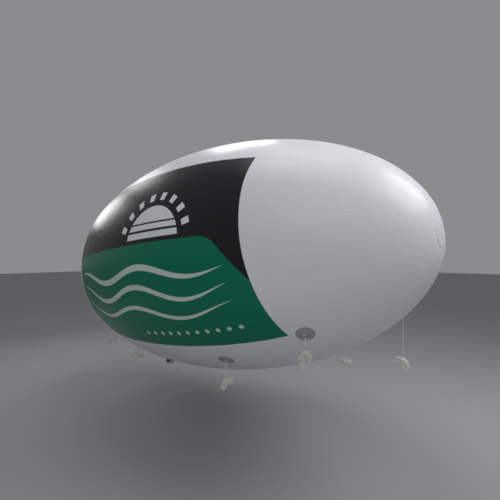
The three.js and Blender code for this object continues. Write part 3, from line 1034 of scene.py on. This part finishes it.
def makeFilmFinish():
    tree, given = newGroup("filmFinish", {"Colour": (0.8, 0.8, 0.8, 1.0), "Roughness": 0.35, "Place": None,
                                          "Seam": 1.0, "Weave": 0.0, "Wear": 1.0})
    touch = filmTouches
    place, seam, wear = given["Place"], given["Seam"], given["Wear"]
    cloud = noise(place, touch["cloudScale"], 3.0)
    scuffed = softStep(noise(place, touch["scuffScale"], 3.0, 0.55), *touch["scuffRange"])
    band = minus(edgeAt(seam, touch["bandTo"], -touch["bandBlur"]),
                 edgeAt(seam, touch["bandFrom"], -touch["bandBlur"]))
    fromEdge = calc("ABSOLUTE", minus(seam, touch["edgeFrom"]))
    edge = edgeAt(fromEdge, touch["edgeHalf"], -touch["edgeBlur"])
    # Grime and the weld band darken the film itself; the edge term adds a painted shadow along the upper
    # film's edge
    darker = plus(times(wear, scaled(cloud, *touch["cloudShade"])),
                  times(band, touch["bandShade"]), times(edge, touch["paintedEdgeShadow"]))
    colour = shaded(given["Colour"], minus(1.0, darker))
    rough = plus(given["Roughness"], scaled(cloud, *touch["cloudGloss"]),
                 times(scuffed, touch["scuffGloss"], wear), times(band, touch["bandGloss"]))
    gathers = times(noise(place, touch["gatherScale"]), softStep(seam, touch["gatherReach"], 0.0))
    split = put(tree, "ShaderNodeSeparateXYZ", {0: place}).outputs
    threads = [calc("SINE", times(split[k], 2.0 * np.pi / touch["weavePitch"])) for k in (0, 2)]
    height = plus(times(gathers, touch["gatherHeight"]),
                  times(noise(place, touch["swellScale"]), touch["swellHeight"]),
                  times(band, touch["bandHeight"]),
                  times(noise(place, touch["grainScale"]), touch["grainHeight"]),
                  times(threads[0], threads[1], given["Weave"], touch["weaveHeight"]))
    return closeGroup(tree, colour, rough, height)


# Braid: the product of two sines that run round the line in opposite ways gives the strands' humps,
# and the colour is painted darker between them as shade in the gaps.
# Around is once round the line, Along is in metres. A pair is a factor of the humps and what is added.
braidTouches = {
    "humpPower": 0.6,
    # painted shade: how much darker the gaps between humps are
    "paintedValleyShade": (0.20, 0.78),
    "humpGloss": (-0.16, 0.74),
    "soilScale": 3.0,
    "soilRun": 9.0,              # how much faster the soil changes along the line than round it
    "soilShade": 0.08,
    "blue": 0.985,
    "fibres": 5.0,               # in one strand
    "fibreHeight": 0.08,         # of the strand's own
}


def makeBraidFinish():
    tree, given = newGroup("braidFinish", {"Colour": (0.8, 0.8, 0.75, 1.0), "Around": 0.0, "Along": 0.0,
                                           "Pitch": 3.2 * mm, "Strands": 6.0, "Relief": 0.4 * mm})
    touch = braidTouches
    turns = times(given["Around"], given["Strands"])
    steps = calc("DIVIDE", given["Along"], given["Pitch"])
    waves = [calc("SINE", times(phase, np.pi)) for phase in (plus(turns, steps), minus(turns, steps))]
    hump = calc("POWER", calc("ABSOLUTE", times(*waves)), touch["humpPower"])
    soilAlong = times(given["Along"], touch["soilRun"])
    place = put(tree, "ShaderNodeCombineXYZ", {0: given["Around"], 1: soilAlong})
    soil = noise(place.outputs[0], touch["soilScale"], 3.0)
    # Darker between the strands' humps as painted shade in the gaps, and darker at random where soiled
    shade = plus(scaled(hump, *touch["paintedValleyShade"]), times(soil, touch["soilShade"]))
    fibre = calc("SINE", times(scaled(turns, touch["fibres"], steps), 2.0 * np.pi))
    height = times(scaled(fibre, touch["fibreHeight"], hump), given["Relief"])
    return closeGroup(tree, shaded(given["Colour"], shade, touch["blue"]),
                      scaled(hump, *touch["humpGloss"]), height)


# Webbing: ribs across the strap broken into a row of small humps, with painted shade darkening the edges of
# each rib
webbingTouches = {
    "ribPitch": 1.6 * mm,
    "cords": 30.0,
    # painted shade: how much darker the valleys between humps are
    "paintedValleyShade": (0.5, 0.65),
    "humpGloss": (-0.12, 0.82),
    "humpHeight": 0.25 * mm,
}


def makeWebbingFinish():
    tree, given = newGroup("webbingFinish", {"Colour": (0.1, 0.1, 0.1, 1.0), "Around": 0.0, "Along": 0.0})
    touch = webbingTouches
    rib = calc("SINE", times(given["Along"], 2.0 * np.pi / touch["ribPitch"]))
    cord = calc("SINE", times(given["Around"], 2.0 * np.pi * touch["cords"]))
    hump = scaled(times(rib, cord), 0.5, 0.5)
    # The darker valleys between the humps are painted shade
    return closeGroup(tree, shaded(given["Colour"], scaled(hump, *touch["paintedValleyShade"])),
                      scaled(hump, *touch["humpGloss"]), times(hump, touch["humpHeight"]))


# Steel: dull patches and fine scratches
steelTouches = {
    "dullScale": 130.0,
    "dullShade": (0.22, 0.84),
    "dullGloss": (0.22, -0.08),
    "scratchScale": 900.0,
    "scratchHeight": 0.04 * mm,
}


def makeSteelFinish():
    tree, given = newGroup("steelFinish", {"Colour": (0.6, 0.6, 0.6, 1.0), "Roughness": 0.25, "Place": None})
    touch = steelTouches
    dull = noise(given["Place"], touch["dullScale"], 3.0)
    scratches = noise(given["Place"], touch["scratchScale"], 2.0, 0.6)
    return closeGroup(tree, shaded(given["Colour"], scaled(dull, *touch["dullShade"])),
                      plus(given["Roughness"], scaled(dull, *touch["dullGloss"])),
                      times(scratches, touch["scratchHeight"]))


filmFinish = makeFilmFinish()
braidFinish = makeBraidFinish()
webbingFinish = makeWebbingFinish()
steelFinish = makeSteelFinish()


# A material whose colour, gloss and relief come from one of the groups
def finishedMaterial(name, group, inputs, metallic=0.0, sheen=0.0, specular=0.5):
    material = bpy.data.materials.new(name)
    material.use_nodes = True
    tree = material.node_tree
    shader = tree.nodes["Principled BSDF"]
    feed(tree, shader, {"Metallic": metallic, "Specular IOR Level": specular, "Sheen Weight": sheen})
    made = feed(tree, put(tree, "ShaderNodeGroup", node_tree=group), inputs(tree)).outputs
    relief = put(tree, "ShaderNodeBump", {"Height": made["Height"], "Distance": 1.0, "Strength": 1.0})
    feed(tree, shader, {"Base Color": made["Colour"], "Roughness": made["Roughness"],
                        "Normal": relief.outputs["Normal"]})
    return material


def objectPlace(tree):
    return put(tree, "ShaderNodeTexCoord").outputs["Object"]


# What a plain material gives its group: a colour with a place on the object, or on its own surface
def onObject(colour, roughness, others=None):
    return lambda tree: {"Colour": colour, "Roughness": roughness, "Place": objectPlace(tree),
                         **(others or {})}


def onSurface(colour, others=None):
    def inputs(tree):
        place = put(tree, "ShaderNodeUVMap", uv_map="surfaceUV").outputs["UV"]
        split = put(tree, "ShaderNodeSeparateXYZ", {0: place}).outputs
        return {"Colour": colour, "Around": split[0], "Along": split[1], **(others or {})}
    return inputs


# The printed film. Colours are linear, lengths along the hull in metres, angles above level in degrees.
printed = {
    "white": (0.79, 0.80, 0.83, 1.0),
    "charcoal": (0.017, 0.0155, 0.0175, 1.0),
    "green": (0.001, 0.185, 0.100, 1.0),
    "pale": (0.60, 0.70, 0.66, 1.0),
    "roughness": 0.31,
    "edge": 1.2 * mm,            # half the softness of the panel's edges
    "artEdge": 1.5 * mm,         # and of the artwork's
    "panelHalfLength": 1.325,    # at the hull's widest line, more below it and less above
    "panelLean": 0.101,          # by this much in each radian
    "panelBow": 0.061,           # and more at both corners by this much in each radian squared
    "panelTop": 42.9,
    "panelTopGrow": 1.5,         # degrees in each square metre from the middle
    "divider": 6.0,              # the border between charcoal and green
    "fallFrom": 1.065,           # from here towards the nose it falls
    "fall": 1.255,               # by this much in each metre, in radians
    "fallRound": 0.05,
}

# Its artwork. The sun stands on the divider, and heights are arcs in metres above level for the rest.
sun = {
    "along": 0.42,
    "radius": 0.335,
    "from": 37.5 * mm,                           # its flat side, above the divider
    "cuts": ((0.105, 0.011), (0.175, 0.008)),    # height and half width of the lines through it
    "rayCount": 18.0,                            # all round
    "rayRange": (0.25, 0.32),                    # of a cosine, where a ray's side is
    "rayFrom": 56.5 * mm,                        # past the half disc
    "rayTo": 133.5 * mm,
}
ribbons = {
    "halfLength": 1.17,
    "wavelength": 1.25,
    "rows": ((-0.145, 0.060, 0.058, 0.4), (-0.330, 0.070, 0.050, 0.9),
             (-0.515, 0.060, 0.042, 1.4)),       # height, swing, width, phase
}
dots = {
    "height": -0.735,
    "first": 0.05,
    "last": 1.15,
    "pitch": 0.11,
    "radius": 0.021,
}


# Where a place is on the print: along the hull, and its angle above level
def printPlace(tree):
    place = objectPlace(tree)
    along, over = (put(tree, "ShaderNodeVectorMath", {0: place, 1: tuple(way)},
                       operation="DOT_PRODUCT").outputs["Value"] for way in (noseWay, topWay))
    beside = calc("ABSOLUTE", put(tree, "ShaderNodeSeparateXYZ", {0: place}).outputs["Y"])
    return place, along, calc("ARCTAN2", over, beside)


# A rising half disc cut by two lines, with short rays round it
def sunMask(along, arc):
    blur, size = printed["artEdge"], sun["radius"]
    x = minus(along, sun["along"])
    y = minus(arc, np.radians(printed["divider"]) * hull["radius"])
    reach = farness(x, y)
    disc = edgeAt(reach, size, -blur)
    for height, half in sun["cuts"]:
        away = calc("ABSOLUTE", minus(y, height))
        disc = times(disc, edgeAt(away, half, blur))
    beam = calc("COSINE", times(calc("ARCTAN2", y, x), sun["rayCount"]))
    ray = times(softStep(beam, *sun["rayRange"]), edgeAt(reach, size + sun["rayFrom"], blur),
                edgeAt(reach, size + sun["rayTo"], -blur))
    return times(edgeAt(y, sun["from"], blur), calc("MAXIMUM", disc, ray))


# A ribbon about a sine along the hull, thinner towards its ends by the cube of the way there
def ribbonMask(along, arc, height, swing, width, phase):
    wave = calc("SINE", scaled(along, 2.0 * np.pi / ribbons["wavelength"], phase))
    away = calc("ABSOLUTE", minus(arc, scaled(wave, swing, height)))
    share = calc("DIVIDE", calc("ABSOLUTE", along), ribbons["halfLength"])
    half = times(minus(1.0, calc("POWER", share, 3.0)), width / 2)
    return edgeAt(minus(away, half), 0.0, -printed["artEdge"])


def dotMask(along, arc):
    half, blur = dots["pitch"] / 2, 1.0 * mm
    step = calc("WRAP", minus(along, dots["first"]), half, -half)
    reach = farness(step, minus(arc, dots["height"]))
    dot = edgeAt(reach, dots["radius"], -printed["edge"])
    return times(dot, edgeAt(along, dots["first"] - half, blur),
                 edgeAt(along, dots["last"] + half, -blur))


def artwork(along, arc):
    art = calc("MAXIMUM", sunMask(along, arc), dotMask(along, arc))
    for row in ribbons["rows"]:
        art = calc("MAXIMUM", art, ribbonMask(along, arc, *row))
    return art


# How far the border between the colours has fallen: level at first, then down along a straight line,
# with a hyperbola between the two
def borderFall(along):
    past = minus(along, printed["fallFrom"])
    root = calc("SQRT", scaled(past, past, printed["fallRound"] ** 2))
    return times(plus(past, root), printed["fall"] / 2.0)


def printInputs(tree):
    place, along, angle = printPlace(tree)
    edge, half, line = printed["edge"], printed["panelHalfLength"], np.radians(printed["divider"])
    bow = times(angle, angle, -printed["panelBow"])
    reach = scaled(angle, printed["panelLean"], plus(calc("ABSOLUTE", along), bow))
    top = scaled(times(along, along), np.radians(printed["panelTopGrow"]), np.radians(printed["panelTop"]))
    past = minus(calc("ABSOLUTE", angle), top)
    panel = times(edgeAt(reach, half, -edge), edgeAt(past, 0.0, -edge))
    above = edgeAt(plus(angle, borderFall(along)), line, edge)
    ground = mixedColour(above, printed["green"], printed["charcoal"])
    ink = mixedColour(above, printed["pale"], printed["white"])
    art = artwork(along, times(angle, hull["radius"]))
    colour = mixedColour(panel, printed["white"], mixedColour(art, ground, ink))
    seam = put(tree, "ShaderNodeAttribute", attribute_name="seamDistance").outputs["Fac"]
    return {"Colour": colour, "Roughness": printed["roughness"], "Place": place, "Seam": seam}


looks = {
    "film": finishedMaterial("printed film", filmFinish, printInputs, specular=0.24),
    "cap": finishedMaterial("cap film", filmFinish, onObject((0.77, 0.78, 0.81, 1.0), 0.32), specular=0.24),
    "patch": finishedMaterial("patch film", filmFinish, onObject((0.36, 0.37, 0.38, 1.0), 0.42, {
        "Weave": 1.0})),
    "sleeve": finishedMaterial("sleeve film", filmFinish, onObject((0.50, 0.51, 0.53, 1.0), 0.40, {
        "Weave": 0.6})),
    "hem": finishedMaterial("hem film", filmFinish, onObject((0.66, 0.67, 0.68, 1.0), 0.40, {
        "Weave": 0.4})),
    "webbing": finishedMaterial("webbing", webbingFinish, onSurface((0.46, 0.47, 0.48, 1.0)), sheen=0.15),
    "stitch": finishedMaterial("stitch thread", filmFinish, onObject((0.55, 0.55, 0.52, 1.0), 0.6)),
    "steel": finishedMaterial("ring steel", steelFinish, onObject((0.66, 0.66, 0.67, 1.0), 0.24),
                              metallic=1.0),
    "rope": finishedMaterial("rope nylon", braidFinish, onSurface((0.86, 0.85, 0.80, 1.0), {
        "Pitch": 3.2 * mm, "Strands": 6.0, "Relief": 0.4 * mm}), sheen=0.3),
    "twine": finishedMaterial("tie twine", braidFinish, onSurface((0.80, 0.78, 0.71, 1.0), {
        "Pitch": 1.9 * mm, "Strands": 4.0, "Relief": 0.25 * mm}), sheen=0.3),
}
print("materials made")


# Every piece rides its body and stands for its nodes
for index, (piece, flat, area) in enumerate(gores):
    finishPiece(piece, "root", looks["film"], ("envelope_gore_%02d" % (index + 1),))
for piece, look, slot, node in (
        (noseCap, "cap", "cap_vinyl", "nose_cap"),
        (tailCap, "cap", "cap_vinyl", "tail_cap"),
        (sleevePiece, "sleeve", "sleeve_vinyl", "filling_sleeve"),
        (hemPiece, "hem", "sleeve_vinyl", "sleeve_hem"),
        (collarPiece, "patch", "patch_vinyl", "sleeve_collar")):
    finishPiece(piece, "root", looks[look], (node,))
for tether in tethers:
    name, body = tether["name"], tether["body"]
    finishPiece(tether["patch"], "root", looks["patch"], ("tether_patch_" + name,))
    finishPiece(tether["tab"], "root", looks["webbing"], ("tether_tab_" + name,))
    finishPiece(tether["stitches"], "root", looks["stitch"])
    finishPiece(tether["ring"], body, looks["steel"], ("tether_ring_" + name,))
    finishPiece(tether["cord"], body, looks["rope"],
                ("tether_rope_" + name, "rope_hank_" + name))
    for part, look in (("ringKnot", "rope"), ("tieLine", "twine"), ("endKnot", "rope")):
        finishPiece(tether[part], body, looks[look])
print("pieces placed on their bodies")


# Floor, room light and soft boxes. Powers are in watts, sizes and places in metres.
studio = {
    "floorAt": -1.85,
    "floorHalf": 40.0,
    "floorColour": (0.36, 0.36, 0.37, 1.0),
    "floorRoughness": 0.8,
    "room": (0.26, 0.26, 0.27),
    "boxes": (
        {"name": "overhead", "place": (0.6, -0.2, 5.4), "towards": (0.4, -0.2, 0.0), "size": (3.2, 3.0),
         "power": 66.0, "tint": (0.93, 0.97, 1.0)},
        {"name": "front", "place": (4.4, -5.6, 4.2), "towards": (0.4, -0.4, 0.0), "size": (4.0, 2.6),
         "power": 58.0, "tint": (0.97, 0.98, 1.0)},
        {"name": "left", "place": (-5.4, -0.4, 1.95), "towards": (-0.5, -1.0, 0.5), "size": (1.4, 1.3),
         "power": 34.0},
        {"name": "leftHigh", "place": (-4.4, 0.1, 3.1), "towards": (-0.1, -0.9, 0.8), "size": (1.5, 1.1),
         "power": 18.0},
        {"name": "behindLeft", "place": (-1.3, 1.3, 3.4), "towards": (0.9, -0.6, 1.0), "size": (1.5, 0.6),
         "power": 24.0},
        {"name": "behindRight", "place": (4.4, 1.7, 3.3), "towards": (1.9, -0.3, 0.5), "size": (3.4, 2.6),
         "power": 140.0, "tint": (0.97, 0.98, 1.0)},
        {"name": "low", "place": (4.6, -6.6, 0.8), "towards": (0.2, -0.7, -1.1), "size": (2.4, 1.0),
         "power": 42.0, "unseen": True},
    ),
}


def makeStudio():
    half, floorAt = studio["floorHalf"], studio["floorAt"]
    points = np.array([(-half, -half, floorAt), (half, -half, floorAt), (half, half, floorAt),
                       (-half, half, floorAt)])
    floor = makePiece("studio_floor", points, [[0, 1, 2, 3]])
    material = bpy.data.materials.new("studio floor")
    material.use_nodes = True
    shader = material.node_tree.nodes["Principled BSDF"]
    shader.inputs["Base Color"].default_value = studio["floorColour"]
    shader.inputs["Roughness"].default_value = studio["floorRoughness"]
    floor.data.materials.append(material)
    world = bpy.data.worlds.new("studioRoom")
    world.use_nodes = True
    world.node_tree.nodes["Background"].inputs["Color"].default_value = (*studio["room"], 1.0)
    bpy.context.scene.world = world
    for box in studio["boxes"]:
        light = bpy.data.lights.new(box["name"], "AREA")
        light.shape = "RECTANGLE"
        light.size, light.size_y = box["size"]
        light.energy = box["power"]
        light.color = box.get("tint", (1.0, 1.0, 1.0))
        lamp = bpy.data.objects.new(box["name"], light)
        lamp.location = box["place"]
        way = Vector(box["towards"]) - Vector(box["place"])
        lamp.rotation_euler = way.to_track_quat("-Z", "Y").to_euler()
        lamp.visible_camera = False
        lamp.visible_glossy = not box.get("unseen", False)
        bpy.context.scene.collection.objects.link(lamp)
    bpy.context.scene.view_settings.view_transform = "Standard"


makeStudio()
print("studio made")
